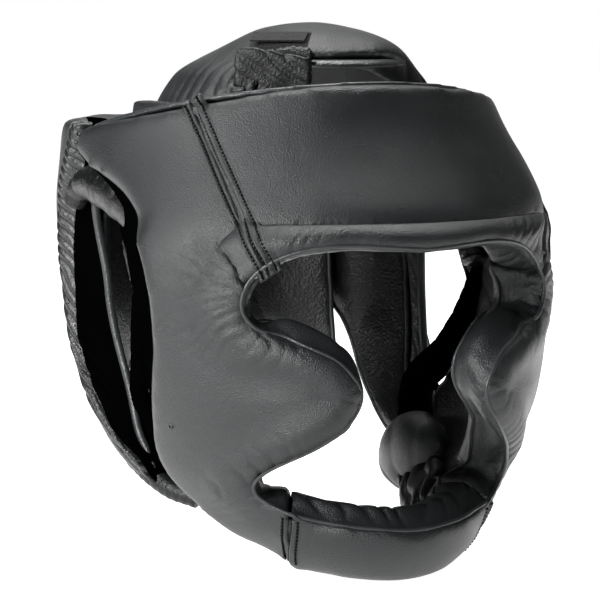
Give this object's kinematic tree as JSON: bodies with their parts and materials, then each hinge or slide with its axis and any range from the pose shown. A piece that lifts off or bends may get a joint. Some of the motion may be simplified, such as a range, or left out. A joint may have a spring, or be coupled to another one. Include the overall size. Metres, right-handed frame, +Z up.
{
  "type": "boxing headgear",
  "caption": "Full-face padded leather boxing headgear with an open face, cheek pads, chin bar, padded crown, ear openings and two overlapping rear flaps that swing open.",
  "frame": {"origin": "middle of the space that the head fills, at the height of the eyes", "axes": "+Z up, the face looks along -Y, +X is the wearer's left"},
  "size_m": [0.2, 0.2468, 0.2387],
  "materials": {
    "cover_leather": "satin",
    "lining_leather": "soft sheen",
    "edge_leather": "satin",
    "strap_leather": "satin",
    "foam": "matte",
    "thread": "matte",
    "hook_and_loop": "matte",
    "eyelet_metal": "satin black"
  },
  "bodies": {
    "headpiece": {"brow_roll": "cover_leather", "cheek_pad_left": "foam", "cheek_pad_right": "foam", "chin_cover": "cover_leather", "chin_foam": "foam", "chin_lining": "lining_leather", "chin_welt_left": "edge_leather", "chin_welt_right": "edge_leather", "crown_binding": "edge_leather", "crown_cover": "cover_leather", "crown_foam": "foam", "crown_gather_left": "cover_leather", "crown_gather_right": "cover_leather", "crown_lining": "lining_leather", "crown_loop_patch": "hook_and_loop", "crown_strap_base": "strap_leather", "ear_cap_left": "cover_leather", "ear_cap_right": "cover_leather", "face_binding": "edge_leather", "forehead_cover": "cover_leather", "forehead_foam": "foam", "forehead_lining": "lining_leather", "neck_strap_left": "strap_leather", "neck_strap_right": "strap_leather", "rim_binding": "edge_leather", "side_cover_left": "cover_leather", "side_cover_right": "cover_leather", "side_foam_left": "foam", "side_foam_right": "foam", "side_lining_left": "lining_leather", "side_lining_right": "lining_leather", "temple_stitching_left": "thread", "temple_stitching_right": "thread", "temple_welt_left": "edge_leather", "temple_welt_right": "edge_leather", "vent_eyelet_left": "eyelet_metal", "vent_eyelet_right": "eyelet_metal"},
    "rear_left": {"ear_roll_left": "cover_leather", "rear_cover_left": "cover_leather", "rear_flap_left": "cover_leather", "rear_foam_left": "foam", "rear_hook_patch": "hook_and_loop", "rear_lining_left": "lining_leather"},
    "rear_right": {"ear_roll_right": "cover_leather", "rear_cover_right": "cover_leather", "rear_flap_right": "cover_leather", "rear_foam_right": "foam", "rear_lining_right": "lining_leather", "rear_loop_patch": "hook_and_loop"},
    "crown_strap": {"crown_hook_patch": "hook_and_loop", "crown_strap_tongue": "strap_leather"}
  },
  "joints": [
    {"name": "rear_left_swing", "type": "hinge", "parent": "headpiece", "child": "rear_left", "pos_m": [0.098, 0.032, 0.066], "axis": [-0.1503, -0.3758, -0.9144], "range_deg": [0, 75]},
    {"name": "rear_right_swing", "type": "hinge", "parent": "headpiece", "child": "rear_right", "pos_m": [-0.098, 0.032, 0.066], "axis": [-0.1503, 0.3758, 0.9144], "range_deg": [0, 40]},
    {"name": "crown_strap_peel", "type": "hinge", "parent": "headpiece", "child": "crown_strap", "pos_m": [-0.0323, -0.0367, 0.1093], "axis": [0.8, -0.6, 0], "range_deg": [0, 105]}
  ],
  "couplings": [
    {"joint": "rear_right_swing", "follows": "rear_left_swing", "ratio": 0.5}
  ]
}
